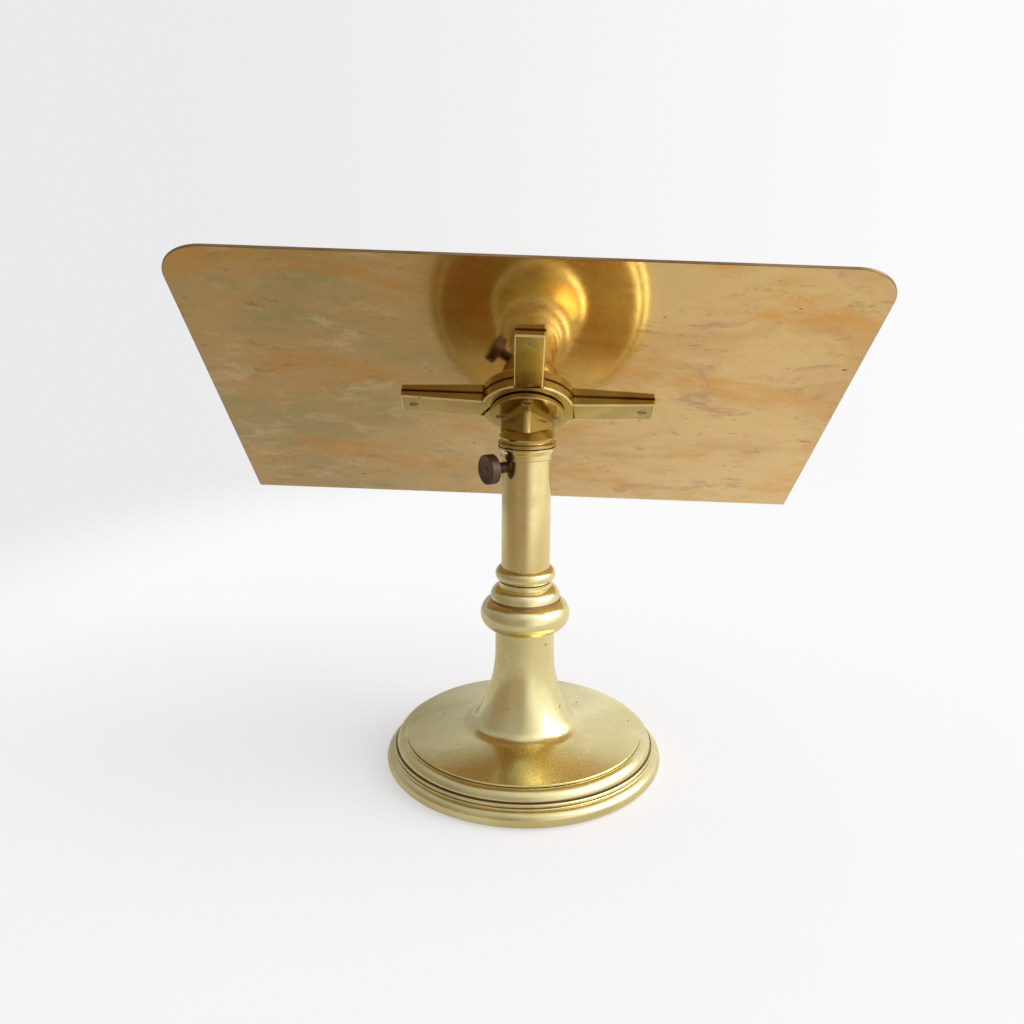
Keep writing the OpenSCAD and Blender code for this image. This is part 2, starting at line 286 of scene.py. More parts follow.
# %% Draw an arc, and turn a section
def arc(centre, radius, start, end, count=14):
    """Points on an arc in the section's plane, by angle in degrees from the outward direction."""
    angles = [math.radians(start + (end - start) * i / count) for i in range(count + 1)]
    return [(centre[0] + radius * math.cos(a), centre[1] + radius * math.sin(a)) for a in angles]


def draw_section(outline):
    """Enters edit mode with a chain of vertices along the outline, given as (radius, height) in mm."""
    bpy.ops.object.select_all(action="DESELECT")
    bpy.ops.mesh.primitive_plane_add(size=MM)
    bpy.ops.object.mode_set(mode="EDIT")
    bpy.ops.mesh.select_mode(type="VERT")
    bpy.ops.mesh.merge(type="CENTER")
    bpy.ops.transform.translate(value=(outline[0][0] * MM, 0, outline[0][1] * MM))
    for (r0, z0), (r1, z1) in zip(outline, outline[1:]):
        step = ((r1 - r0) * MM, 0, (z1 - z0) * MM)
        bpy.ops.mesh.extrude_region_move(TRANSFORM_OT_translate={"value": step})
    bpy.ops.mesh.select_all(action="SELECT")


def turn(name, outline, steps=160):
    """A closed solid of revolution about Z. A section that starts and ends on the axis closes itself."""
    on_axis = outline[0][0] == 0 and outline[-1][0] == 0
    draw_section(list(outline) + ([] if on_axis else [outline[0]]))
    bpy.ops.mesh.spin(steps=steps, angle=math.tau, center=(0, 0, 0), axis=(0, 0, 1))
    bpy.ops.mesh.select_all(action="SELECT")
    bpy.ops.mesh.remove_doubles(threshold=0.002 * MM)
    bpy.ops.mesh.normals_make_consistent(inside=False)
    bpy.ops.object.mode_set(mode="OBJECT")
    piece = bpy.context.active_object
    piece.name = piece.data.name = name
    return piece


# %% [markdown]
# ## Materials
#
# Old brass is one metal with several skins: bright where hands and cloths reach it, brown and
# olive where they don't, with dark specks of corrosion everywhere. One function builds that from
# layers of noise: slow patches for tarnish, fine grain, pits from a Voronoi pattern, and lines
# left by the lathe. All patterns read object coordinates, so they stay with the metal.

# %% Small functions for shader nodes
def new_material(name):
    material = bpy.data.materials.new(name)
    material.use_nodes = True
    shader = material.node_tree.nodes["Principled BSDF"]
    return material, material.node_tree, shader


def place_of(tree):
    return add_node(tree, "ShaderNodeTexCoord").outputs["Object"]


def noise(tree, place, scale, detail=3.0, roughness=0.5, distortion=0.0):
    inputs = {"Vector": place, "Scale": scale, "Detail": detail, "Roughness": roughness,
              "Distortion": distortion}
    return add_node(tree, "ShaderNodeTexNoise", inputs).outputs["Fac"]


def pits(tree, place, per_metre, size, share):
    """1 in small round pits: one in each Voronoi cell whose random value is under share."""
    cells = add_node(tree, "ShaderNodeTexVoronoi", {"Vector": place, "Scale": per_metre})
    split = add_node(tree, "ShaderNodeSeparateColor", {"Color": cells.outputs["Color"]})
    chosen = maths(tree, "LESS_THAN", split.outputs[0], share)
    reach = maths(tree, "MULTIPLY", split.outputs[1], size)
    near = maths(tree, "SUBTRACT", reach, cells.outputs["Distance"])
    return maths(tree, "MULTIPLY", chosen, band(tree, near, 0.0, 0.06))


def lathe_lines(tree, place, per_metre):
    """Noise that only changes with radius and height, like the marks of a turning tool."""
    apart = add_node(tree, "ShaderNodeSeparateXYZ", {"Vector": place})
    flat = add_node(tree, "ShaderNodeCombineXYZ", {"X": apart.outputs[0], "Y": apart.outputs[1]})
    radius = add_node(tree, "ShaderNodeVectorMath", {0: flat.outputs[0]}, operation="LENGTH")
    line = add_node(tree, "ShaderNodeCombineXYZ", {"X": radius.outputs["Value"], "Z": apart.outputs[2]})
    return noise(tree, line.outputs[0], per_metre, detail=4.0)


# %% Brass with tarnish, pits and turning marks
def brass(name, bright, dull, stain, gloss, rough, pit_share=0.05, pit_scale=240, turned_marks=False,
          grain=0.08):
    """Metal that goes from bright and glossy to dull and rough, with patches of stain and pits."""
    material, tree, shader = new_material(name)
    place = place_of(tree)
    patches = band(tree, noise(tree, place, 22, 5, 0.6, 0.6), 0.36, 0.66)
    clouds = band(tree, noise(tree, place, 9, 3, 0.5, 1.0), 0.5, 0.72)
    specks = noise(tree, place, 420, 4, 0.65)
    small_pit = pits(tree, place, pit_scale, 0.24, pit_share)
    large_pit = pits(tree, place, 80, 0.13, 0.26)
    pit = maths(tree, "MAXIMUM", small_pit, large_pit)

    colour = blend_colour(tree, patches, bright, dull)
    colour = blend_colour(tree, maths(tree, "MULTIPLY", clouds, 0.7), colour, stain)
    colour = blend_colour(tree, band(tree, specks, 0.56, 0.78, 0, 0.25), colour, dull)
    colour = blend_colour(tree, maths(tree, "MULTIPLY", pit, 0.7), colour, (0.12, 0.07, 0.03))
    tree.links.new(colour, shader.inputs["Base Color"])

    shine = band(tree, patches, 0, 1, gloss, rough)
    shine = maths(tree, "ADD", shine, band(tree, specks, 0.4, 0.8, 0, grain))
    shine = maths(tree, "ADD", shine, maths(tree, "MULTIPLY", pit, 0.4))
    tree.links.new(shine, shader.inputs["Roughness"])
    shader.inputs["Metallic"].default_value = 1.0

    height = maths(tree, "SUBTRACT", maths(tree, "MULTIPLY", specks, 0.03), pit)
    if turned_marks:
        marks = lathe_lines(tree, place, 900)
        height = maths(tree, "ADD", height, maths(tree, "MULTIPLY", marks, 0.12))
    bump = add_node(tree, "ShaderNodeBump", {"Height": height, "Strength": 0.35, "Distance": 0.08 * MM})
    tree.links.new(bump.outputs[0], shader.inputs["Normal"])
    return material


satin = brass("satin_brass", (0.85, 0.765, 0.42), (0.76, 0.665, 0.33), (0.60, 0.51, 0.22), 0.17, 0.26,
              turned_marks=True)
cast_brass = brass("cast_brass", (0.56, 0.43, 0.15), (0.46, 0.34, 0.11), (0.36, 0.26, 0.08), 0.08, 0.15)
polished_and_edge_highlight = brass("polished_brass", (0.84, 0.71, 0.36), (0.72, 0.57, 0.25), (0.56, 0.38, 0.13), 0.09, 0.2)
tarnish_and_shade_brass = brass("tarnish_and_painted_shade", (0.30, 0.20, 0.10), (0.20, 0.13, 0.06), (0.12, 0.08, 0.04), 0.3, 0.5)
screw_brass = brass("screw_brass", (0.46, 0.34, 0.18), (0.30, 0.21, 0.11), (0.2, 0.14, 0.08), 0.3, 0.5)
bronze = brass("dark_bronze", (0.17, 0.11, 0.08), (0.10, 0.065, 0.05), (0.2, 0.14, 0.11), 0.32, 0.5)

# %% [markdown]
# ## The foot and the pillar
#
# The foot is a moulded ring: a large roll on the table, a thin bead between two grooves, and an
# ovolo that runs up under the lip of the pillar's plate. The pillar is a trumpet that flares into
# that plate. Both are hollow castings, so their sections go round the inside as well.

# %% Tarnish that the polishing cloth can't reach
def tarnish(piece, test):
    """Gives a dark second material to the faces whose middle, as (radius, height) in mm, passes the test."""
    piece.data.materials.append(tarnish_and_shade_brass)
    for face in piece.data.polygons:
        where = face.center / MM
        if test(math.hypot(where.x, where.y), where.z):
            face.material_index = 1


# %% Turn the foot ring
foot_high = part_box("foot_ring")[1]
foot_r = foot_high.x / MM
ring_top = foot_high.z / MM
lip_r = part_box("pillar")[1].x / MM
pad_r, pad_t = 94.2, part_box("baize_pad")[1].z / MM
roll_r = 6.5
ovolo_r = 7.6
ovolo_c = (lip_r - 0.4, ring_top - ovolo_r)
bead_c = (ovolo_c[0] + ovolo_r + 0.4, 15.5)

foot_section = [(pad_r, 0), (pad_r + 0.5, 0)]
foot_section += arc((foot_r - roll_r, roll_r), roll_r - 0.02, -88, 80, 28)
foot_section += [(bead_c[0] + 1.15, bead_c[1] - 2.1), (bead_c[0] + 1.0, bead_c[1] - 1.8)]
foot_section += arc(bead_c, 1.5, -50, 70, 10)
foot_section += [(bead_c[0] - 0.75, bead_c[1] + 1.65), (bead_c[0] - 0.9, bead_c[1] + 2.0)]
foot_section += arc(ovolo_c, ovolo_r, 8, 84, 20)
foot_section += [(lip_r - 0.9, ring_top - 0.3), (lip_r - 1.6, ring_top), (60, ring_top), (60, ring_top - 5)]
foot_section += [(91.6, ring_top - 5), (92, ring_top - 5.4), (92, pad_t), (pad_r, pad_t)]
foot_ring = turn("foot_ring_turned", foot_section, 192)
finish_piece(foot_ring, "foot_ring", satin, "column")


def in_groove(r, z):
    out, above = r - bead_c[0], z - bead_c[1]
    return (-2.2 < above < -1.3 and -2 < out < 1.6) or (1.3 < above < 2.6 and out > -1.3)


tarnish(foot_ring, in_groove)

# %% Turn the pillar and its plate
pillar_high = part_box("pillar")[1].z / MM
pillar_r, tube_r = 21.6, 17.5
lip_top = 26.4
flare_r, flare_start, flare_end = 106, 90, 29.4
fillet_r, dome = 14, 6.2
flare_c = (pillar_r + flare_r, flare_start)
reach = flare_r - fillet_r
fillet_c = (flare_c[0] - reach * math.cos(math.radians(flare_end)),
            flare_c[1] - reach * math.sin(math.radians(flare_end)))

pillar_section = [(tube_r, pillar_high), (tube_r, 80), (13.5, 80), (13.5, 66), (16, 58), (22, 46), (30, 36)]
pillar_section += [(40, 28.5), (52, ring_top), (lip_r - 0.3, ring_top)]
pillar_section += arc((lip_r - 0.5, ring_top + 0.5), 0.5, -80, 0, 5)
pillar_section += arc((lip_r - 0.7, lip_top - 0.7), 0.7, 0, 84, 7)
pillar_section += arc(fillet_c, fillet_r, 270 - dome, 180 + flare_end, 20)
pillar_section += arc(flare_c, flare_r, 179 + flare_end, 180, 36)
pillar_section += [(pillar_r, 100), (pillar_r, pillar_high)]
pillar = turn("pillar_turned", pillar_section, 192)
finish_piece(pillar, "pillar", satin, "column", 50)
tarnish(pillar, lambda r, z: r > lip_r - 1.2 and z < ring_top + 0.7)

# %% [markdown]
# ## Knop, neck ring, tube and collar
#
# The knop is a large roll under a smaller ovolo, the neck ring is a plain half round, and the
# collar is a thin rim over a small cove. The tube needs its tapped hole, so it is a turned pipe
# with a cylinder subtracted. The stem inside it only shows when the desk is raised. Where two
# pieces meet, `tarnish` leaves the thin dark line that polish and dirt leave in a real joint.

# %% Turn the knop and the neck ring
knop_low, knop_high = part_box("knop")
knop_foot, knop_top = knop_low.z / MM, knop_high.z / MM
knop_r = knop_high.x / MM
knop_roll = 12
knop_section = [(tube_r, knop_top), (tube_r, pillar_high), (pillar_r, pillar_high), (pillar_r, knop_foot)]
knop_section += arc((knop_r - knop_roll, 119), knop_roll, -84, 63, 36)
knop_section += arc((16.2, 131.6), 9.2, 0, 70, 16)
knop_section += [(19.25, 141.0), (19.2, 141.4), (19.2, knop_top)]
knop = turn("knop_turned", knop_section)
finish_piece(knop, "knop", satin, "column")
tarnish(knop, lambda r, z: 129.9 < z < 131.0 and r < 25.8 or z < knop_foot + 0.25)

neck_low, neck_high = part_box("neck_ring")
neck_z = (neck_low.z + neck_high.z) / 2 / MM
neck_bead = 5.5
neck_c = neck_high.x / MM - neck_bead
side = math.degrees(math.acos((tube_r - neck_c) / neck_bead))
neck_ring = turn("neck_ring_turned", arc((neck_c, neck_z), neck_bead, -side, side, 28))
finish_piece(neck_ring, "neck_ring", satin, "column")

# %% Turn the tube and drill it for the clamp screw
clamp_low, clamp_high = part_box("clamp_screw_head")
clamp_middle = (clamp_low + clamp_high) / 2
clamp_out = Vector((clamp_middle.x, clamp_middle.y, 0)).normalized()
clamp_z = clamp_middle.z
clamp_turn = clamp_out.to_track_quat("Z", "Y").to_matrix().to_4x4()
tube_low, tube_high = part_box("outer_tube")
tube_foot, tube_top = tube_low.z / MM, tube_high.z / MM
bore_r = 14.5
tube_section = [(bore_r, tube_foot), (tube_r, tube_foot), (tube_r, 100), (tube_r, 160), (tube_r, 200),
                (tube_r, 225), (tube_r, tube_top - 0.3), (tube_r - 0.3, tube_top), (bore_r + 0.4, tube_top),
                (bore_r, tube_top - 0.4)]
tube = turn("outer_tube_turned", tube_section, 192)
tapped_r = 3.97
in_wall = Matrix.Translation(clamp_out * 20 * MM + Vector((0, 0, clamp_z)))
drill(tube, tapped_r, 30, in_wall @ clamp_turn)
finish_piece(tube, "outer_tube", polished_and_edge_highlight, "column", 30)

# %% Turn the collar and the stem
collar_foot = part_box("tube_collar")[0].z / MM
collar_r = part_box("tube_collar")[1].x / MM
collar_section = [(tube_r, collar_foot)]
collar_section += arc((tube_r + 0.35, collar_foot + 1), 1, -80, 0, 7)
collar_section += arc((collar_r - 0.2, 239), 1.35, 180, 125, 8)
collar_section += arc((collar_r - 0.8, 242), 0.8, -40, 0, 5)
collar_section += arc((collar_r - 0.6, tube_top - 0.6), 0.6, 0, 90, 7)
collar_section += [(tube_r, tube_top)]
collar = turn("tube_collar_turned", collar_section)
finish_piece(collar, "tube_collar", polished_and_edge_highlight, "column", 30)
tarnish(collar, lambda r, z: z > tube_top - 0.3 or z < collar_foot + 0.25)

stem_low, stem_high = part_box("stem_tube")
stem_foot, stem_top = stem_low.z / MM, stem_high.z / MM
stem_r = stem_high.x / MM
stem_section = [(11.95, stem_foot), (stem_r - 0.4, stem_foot), (stem_r, stem_foot + 0.4), (stem_r, 140),
                (stem_r, 190), (stem_r, stem_top), (11.95, stem_top)]
stem = turn("stem_tube_turned", stem_section)
finish_piece(stem, "stem_tube", polished_and_edge_highlight, "desk", 30)

# %% [markdown]
# ## The desk's own axes
#
# The flange, the bracket and the desk all lie square to the desk's slope. They are easiest to
# model flat, with Z as the desk's normal, and to lay on the slope at the end. The slope comes
# from the imported mounts, and the flange's height is given.

# %% Work out the slope and the two sets of axes
mounts = {mount["name"]: mount for mount in frame["record"]["mounts"]}
normal = Vector(mounts["desk_face"]["axis"])
slope = math.atan2(normal.y, normal.z)
flange_z = 263.3
flange_axes = Matrix.Translation((0, 0, flange_z * MM)) @ Matrix.Rotation(-slope, 4, "X")
twist = math.radians(2.3)
bracket_axes = flange_axes @ Matrix.Rotation(twist, 4, "Z")
flange_t, packing_t, hub_t, sheet_t = 3.8, 1.0, 7.5, 2.0
hub_foot = flange_t + packing_t
sheet_foot = hub_foot + hub_t
print("slope", round(math.degrees(slope), 1), "degrees")

# %% Sheet brass: streaky tarnish in the sheet's own plane
def mottled_sheet(name, origin, turn_about):
    """Rolled sheet with tarnish in streaks along the desk, greyer on one side and tanner on the other."""
    material, tree, shader = new_material(name)
    flat = add_node(tree, "ShaderNodeMapping", {"Vector": place_of(tree), "Location": origin,
                    "Rotation": turn_about}, vector_type="TEXTURE").outputs[0]
    streaked = add_node(tree, "ShaderNodeMapping", {"Vector": flat, "Scale": (1, 1.9, 1)}).outputs[0]
    across = add_node(tree, "ShaderNodeSeparateXYZ", {"Vector": flat}).outputs[0]
    wander = band(tree, noise(tree, flat, 7), 0.3, 0.7, -0.06, 0.06)
    side = band(tree, maths(tree, "ADD", across, wander), -0.13, 0.02)

    tan, olive, straw = (0.60, 0.40, 0.17), (0.46, 0.37, 0.16), (0.76, 0.62, 0.34)
    gold, orange, plum = (0.68, 0.49, 0.22), (0.64, 0.33, 0.08), (0.42, 0.25, 0.18)
    grey_cloud = band(tree, noise(tree, streaked, 9, 9, 0.72, 0.4), 0.42, 0.6, 0, 0.9)
    left = blend_colour(tree, grey_cloud, tan, olive)
    straw_mark = band(tree, noise(tree, streaked, 21, 9, 0.76, 0.3), 0.5, 0.68, 0, 0.7)
    left = blend_colour(tree, straw_mark, left, straw)
    tan_cloud = band(tree, noise(tree, streaked, 7, 8, 0.7, 0.5), 0.44, 0.6)
    right_tone = blend_colour(tree, tan_cloud, gold, tan)
    purple = band(tree, noise(tree, streaked, 13, 8, 0.7, 0.6), 0.57, 0.68, 0, 0.65)
    right_tone = blend_colour(tree, purple, right_tone, plum)
    colour = blend_colour(tree, side, left, right_tone)
    moved = add_node(tree, "ShaderNodeVectorMath", {0: streaked, 1: (3, 5, 1)}, operation="ADD").outputs[0]
    embers = band(tree, noise(tree, moved, 9, 9, 0.72, 0.4), 0.48, 0.66, 0, 0.8)
    colour = blend_colour(tree, embers, colour, orange)
    smudge = band(tree, noise(tree, moved, 45, 7, 0.8), 0.56, 0.68, 0, 0.55)
    colour = blend_colour(tree, smudge, colour, (0.28, 0.19, 0.085))
    speck = maths(tree, "MAXIMUM", pits(tree, streaked, 75, 0.13, 0.16), pits(tree, moved, 30, 0.1, 0.35))
    colour = blend_colour(tree, maths(tree, "MULTIPLY", speck, 0.85), colour, (0.08, 0.04, 0.02))
    tree.links.new(colour, shader.inputs["Base Color"])

    brushed = noise(tree, streaked, 150, 6, 0.75)
    shine = band(tree, brushed, 0.3, 0.8, 0.05, 0.12)
    shine = maths(tree, "ADD", shine, maths(tree, "MULTIPLY", speck, 0.35))
    tree.links.new(shine, shader.inputs["Roughness"])
    shader.inputs["Metallic"].default_value = 1.0
    waves = maths(tree, "MULTIPLY", noise(tree, flat, 9, 1), 3.0)
    height = maths(tree, "ADD", waves, maths(tree, "MULTIPLY", brushed, 0.12))
    height = maths(tree, "SUBTRACT", height, speck)
    bump = add_node(tree, "ShaderNodeBump", {"Height": height, "Strength": 0.3, "Distance": 0.08 * MM})
    tree.links.new(bump.outputs[0], shader.inputs["Normal"])
    return material


sheet_brass = mottled_sheet("sheet_brass", bracket_axes.translation, bracket_axes.to_euler())

# %% Desk sheet: plane, rounded corners, fold and thickness
desk_w, desk_l = 434.0, 311.6
corner_r, bend_r, ledge_h = 30.0, 3.0, 24.0
desk_shift = Vector((-2.6, -3.6, sheet_foot)) * MM


def pick(piece, test, kind="VERT"):
    """In edit mode, selects the vertices, edges or faces whose middle passes the test."""
    bpy.ops.mesh.select_mode(type=kind)
    bpy.ops.mesh.select_all(action="DESELECT")
    bpy.ops.object.mode_set(mode="OBJECT")
    points = piece.data.vertices
    if kind == "VERT":
        for v in points:
            v.select = test(v.co)
    elif kind == "EDGE":
        for e in piece.data.edges:
            e.select = test((points[e.vertices[0]].co + points[e.vertices[1]].co) / 2)
    else:
        for f in piece.data.polygons:
            f.select = test(f.center)
    bpy.ops.object.mode_set(mode="EDIT")


bpy.ops.object.select_all(action="DESELECT")
bpy.ops.mesh.primitive_plane_add(size=1)
sheet = bpy.context.active_object
sheet.name = sheet.data.name = "desk_sheet"
sheet.scale = (desk_w * MM, (desk_l - bend_r) * MM, 1)
sheet.location = (0, -bend_r / 2 * MM, 0)
place_in_mesh(sheet)
bpy.ops.object.mode_set(mode="EDIT")
pick(sheet, lambda p: p.y < 0)
bpy.ops.mesh.bevel(offset=corner_r * MM, segments=24, affect="VERTICES")
fold_y = (desk_l / 2 - bend_r) * MM
pick(sheet, lambda p: p.y > fold_y - 0.01 * MM, "EDGE")
bpy.ops.mesh.spin(steps=10, angle=-math.radians(90), center=(0, fold_y, bend_r * MM), axis=(1, 0, 0))
bpy.ops.mesh.extrude_region_move(
    TRANSFORM_OT_translate={"value": (0, 0, (ledge_h + sheet_t - bend_r) * MM)})
bpy.ops.mesh.select_all(action="SELECT")
bpy.ops.mesh.remove_doubles(threshold=0.01 * MM)
bpy.ops.mesh.normals_make_consistent(inside=False)
bpy.ops.object.mode_set(mode="OBJECT")
back = min(sheet.data.polygons, key=lambda f: f.center.z)
if back.normal.z > 0:
    bpy.ops.object.mode_set(mode="EDIT")
    bpy.ops.mesh.flip_normals()
    bpy.ops.object.mode_set(mode="OBJECT")
wall = sheet.modifiers.new("sheet_thickness", "SOLIDIFY")
wall.thickness, wall.offset = sheet_t * MM, -1
apply_modifiers(sheet)
print("sheet, mm:", [round(c / MM, 1) for c in sheet.dimensions])

# %% Drill the sheet, round its edges and lay it on the slope
arm_screw_at, arm_screw_r = 80.0, 1.8


def ease_edges(piece, width, segments, angle=40):
    """Rounds the sharp edges a little and keeps the flat faces looking flat."""
    edge = piece.modifiers.new("eased_edges", "BEVEL")
    edge.width, edge.segments, edge.limit_method = width * MM, segments, "ANGLE"
    edge.angle_limit = math.radians(angle)
    edge.harden_normals = True
    # The rounded edges get the second material when there is one. On the bracket and the head that is the
    # brighter polished brass: worn bright, and also a painted highlight along the edges.
    edge.material = 1 if len(piece.data.materials) > 1 else -1
    apply_modifiers(piece)


arm_screw_spots = [Vector((math.cos(a), math.sin(a), 0)) * arm_screw_at * MM
                   for a in (math.radians(90 * i) for i in range(4))]
for spot in arm_screw_spots:
    drill(sheet, arm_screw_r, 8, Matrix.Translation(spot - desk_shift + Vector((0, 0, sheet_foot * MM))))
select_only(sheet)
bpy.ops.object.mode_set(mode="EDIT")
pick(sheet, lambda p: abs(p.x) < 1 * MM and p.z > (ledge_h + sheet_t - 0.2) * MM, "EDGE")
bpy.ops.mesh.bevel(offset=0.95 * MM, segments=5, affect="EDGES")
bpy.ops.object.mode_set(mode="OBJECT")
ease_edges(sheet, 0.35, 3)
sheet_axes = bracket_axes @ Matrix.Translation(desk_shift)
place_in_mesh(sheet, sheet_axes)
finish_piece(sheet, "desk_plate", sheet_brass, "desk", 60, flat_faces=True)

sheet.data.materials.append(tarnish_and_shade_brass)
to_flat = sheet_axes.inverted()
for face in sheet.data.polygons:
    p = to_flat @ face.center / MM
    beside, beyond = abs(p.x) - desk_w / 2, -p.y - desk_l / 2
    in_corner = beside > -corner_r and beyond > -corner_r
    past = math.hypot(beside + corner_r, beyond + corner_r) - corner_r if in_corner else max(beside, beyond)
    face.material_index = 1 if past > -0.36 or p.z > ledge_h + sheet_t - 0.6 else 0
print("edge faces:", sum(f.material_index for f in sheet.data.polygons))

# %% [markdown]
# ## Bracket
#
# The bracket is a casting of a round hub with four arms. The arms thin towards their tips, and every
# edge is filed round. A cylinder and two crossed bars make it, joined by a boolean so that the edges
# between them are real edges, and a bevel then rounds all of them at once.

# %% Model the bracket
hub_r, arm_reach, arm_w, arm_tip_t = 33.0, 88.5, 20.0, 5.0


def add_bar(length, width, foot, top):
    """A bar along X, centred on the axis, between two heights in mm."""
    bpy.ops.object.select_all(action="DESELECT")
    bpy.ops.mesh.primitive_cube_add(size=1)
    bar = bpy.context.active_object
    bar.scale = (length * MM, width * MM, (top - foot) * MM)
    bar.location = (0, 0, (top + foot) / 2 * MM)
    place_in_mesh(bar)
    return bar


bpy.ops.object.select_all(action="DESELECT")
bpy.ops.mesh.primitive_cylinder_add(vertices=160, radius=hub_r * MM, depth=hub_t * MM,
                                    location=(0, 0, (hub_foot + hub_t / 2) * MM))
bracket = bpy.context.active_object
bracket.name = bracket.data.name = "desk_bracket_cast"
place_in_mesh(bracket)
for quarter in range(2):
    bar = add_bar(2 * arm_reach, arm_w, hub_foot, sheet_foot)
    bpy.ops.object.mode_set(mode="EDIT")
    for cut_at in (-hub_r, hub_r):
        bpy.ops.mesh.select_all(action="SELECT")
        bpy.ops.mesh.bisect(plane_co=(cut_at * MM, 0, 0), plane_no=(1, 0, 0))
    pick(bar, lambda p: abs(p.x) > (arm_reach - 1) * MM and p.z < (hub_foot + 1) * MM)
    bpy.ops.transform.translate(value=(0, 0, (hub_t - arm_tip_t) * MM))
    bpy.ops.object.mode_set(mode="OBJECT")
    place_in_mesh(bar, Matrix.Rotation(math.radians(90 * quarter), 4, "Z"))
    combine(bracket, bar)
bpy.ops.object.select_all(action="DESELECT")
select_only(bracket)
bpy.ops.object.mode_set(mode="EDIT")
bpy.ops.mesh.select_all(action="SELECT")
bpy.ops.mesh.dissolve_limited(angle_limit=math.radians(0.5))
elbow = math.hypot(math.sqrt(hub_r**2 - (arm_w / 2) ** 2), arm_w / 2)
pick(bracket, lambda p: abs(math.hypot(p.x, p.y) - elbow * MM) < 0.2 * MM
     and abs(p.z - (hub_foot + hub_t / 2) * MM) < 0.5 * MM
     and abs(min(abs(p.x), abs(p.y)) - arm_w / 2 * MM) < 0.2 * MM, "EDGE")
bpy.ops.mesh.bevel(offset=3.5 * MM, segments=6, affect="EDGES")
bpy.ops.object.mode_set(mode="OBJECT")
print("bracket, mm:", [round(c / MM, 1) for c in bracket.dimensions])

# %% [markdown]
# ## Countersunk screws
#
# The bracket's arms and the flange are held by slotted screws with flat heads. One function makes a
# screw: a head that narrows like a cone, a shank, and a slot cut by a thin block. Each screw is
# turned to its own angle, because nobody lines up the slots of old screws.

# %% Model the screws
screw_sink, slot_w, slot_deep = 1.7, 0.9, 0.9


def sunk_screw(name, radius, head_r, face, top, slot_turn):
    """A slotted screw on the Z axis whose face looks down."""
    outline = [(0, face), (head_r - 0.25, face), (head_r - 0.05, face + 0.15), (radius, face + screw_sink)]
    outline += [(radius, top - 0.2), (radius - 0.2, top), (0, top)]
    screw = turn(name, outline, 48)
    bar = add_bar(4 * head_r, slot_w, face - 1, face + slot_deep)
    place_in_mesh(bar, Matrix.Rotation(math.radians(slot_turn), 4, "Z"))
    combine(screw, bar, "DIFFERENCE")
    return screw


def sink(piece, radius, head_r, face, top, spot, axes=None):
    """Cuts the hole for such a screw, a hair larger than the screw."""
    clear = 0.4
    widen = (head_r - radius) / screw_sink * clear
    outline = [(0, face - clear), (head_r + 0.1 + widen, face - clear), (radius + 0.05, face + screw_sink)]
    outline += [(radius + 0.05, top), (0, top)]
    cone = turn("cutter", outline, 48)
    place_in_mesh(cone, (axes or Matrix.Identity(4)) @ Matrix.Translation(spot))
    combine(piece, cone, "DIFFERENCE")


arm_screw_head_r = 3.3
arm_slope = (hub_t - arm_tip_t) / (arm_reach - hub_r)
arm_face = hub_foot + arm_slope * (arm_screw_at - hub_r)
sheet_face = sheet_foot + sheet_t
for spot in arm_screw_spots:
    sink(bracket, arm_screw_r, arm_screw_head_r, arm_face, sheet_foot + 1, spot)
for number, (spot, slot_turn) in enumerate(zip(arm_screw_spots, (10, 25, -20, 80)), 1):
    screw = sunk_screw(f"arm_screw_{number}", arm_screw_r, arm_screw_head_r, arm_face, sheet_face, slot_turn)
    place_in_mesh(screw, bracket_axes @ Matrix.Translation(spot))
    finish_piece(screw, "arm_screws", screw_brass, "desk", 30)

select_only(bracket)
bpy.ops.object.mode_set(mode="EDIT")
bpy.ops.mesh.select_mode(type="EDGE")
bpy.ops.mesh.select_all(action="DESELECT")
bpy.ops.mesh.edges_select_sharp(sharpness=math.radians(40))
bpy.ops.object.mode_set(mode="OBJECT")
points = bracket.data.vertices
for edge in bracket.data.edges:
    middle = (points[edge.vertices[0]].co + points[edge.vertices[1]].co) / 2
    if any(math.hypot(middle.x - spot.x, middle.y - spot.y) < 5 * MM for spot in arm_screw_spots):
        edge.select = False
bracket.data.materials.append(cast_brass)
bracket.data.materials.append(polished_and_edge_highlight)
bpy.ops.object.mode_set(mode="EDIT")
# The bevel gives the edges the brighter polished brass: rubbed bright, and also a painted highlight along
# the edges that the darker cast brass would hide.
bpy.ops.mesh.bevel(offset=1.2 * MM, segments=4, affect="EDGES", harden_normals=True, material=1)
bpy.ops.object.mode_set(mode="OBJECT")
# The small faces along the bracket's top edge, where it meets the sheet, get the dark brass: a dark joint
# with the sheet's contact shadow painted in.
bracket.data.materials.append(tarnish_and_shade_brass)
for face in bracket.data.polygons:
    if face.center.z > (sheet_foot - 1.25) * MM and face.area < 40 * MM**2:
        face.material_index = 2
place_in_mesh(bracket, bracket_axes)
finish_piece(bracket, "desk_bracket", cast_brass, "desk", 60, flat_faces=True)

# %% [markdown]
# ## Head casting
#
# The head turns the upright stem into the sloping desk. From below it is a rim, a cove, a cone that
# narrows, and a square block that leans towards the reader and runs into a round flange. One corner
# of the block faces the back, so the head shows a bright ridge there. Each part is simple, so they are
# made one by one and joined, and a bevel then gives the edges the roundness of a filed casting.

# %% Model the head
head_foot = tube_top + 0.3
head_r, cove_top, hip_top, hip_r = 19.6, 250.5, 255.0, 15.0
block_side, block_round, block_lean, block_shift = 29.7, 5.0, 28.0, 4.2
flange_r = 26.0

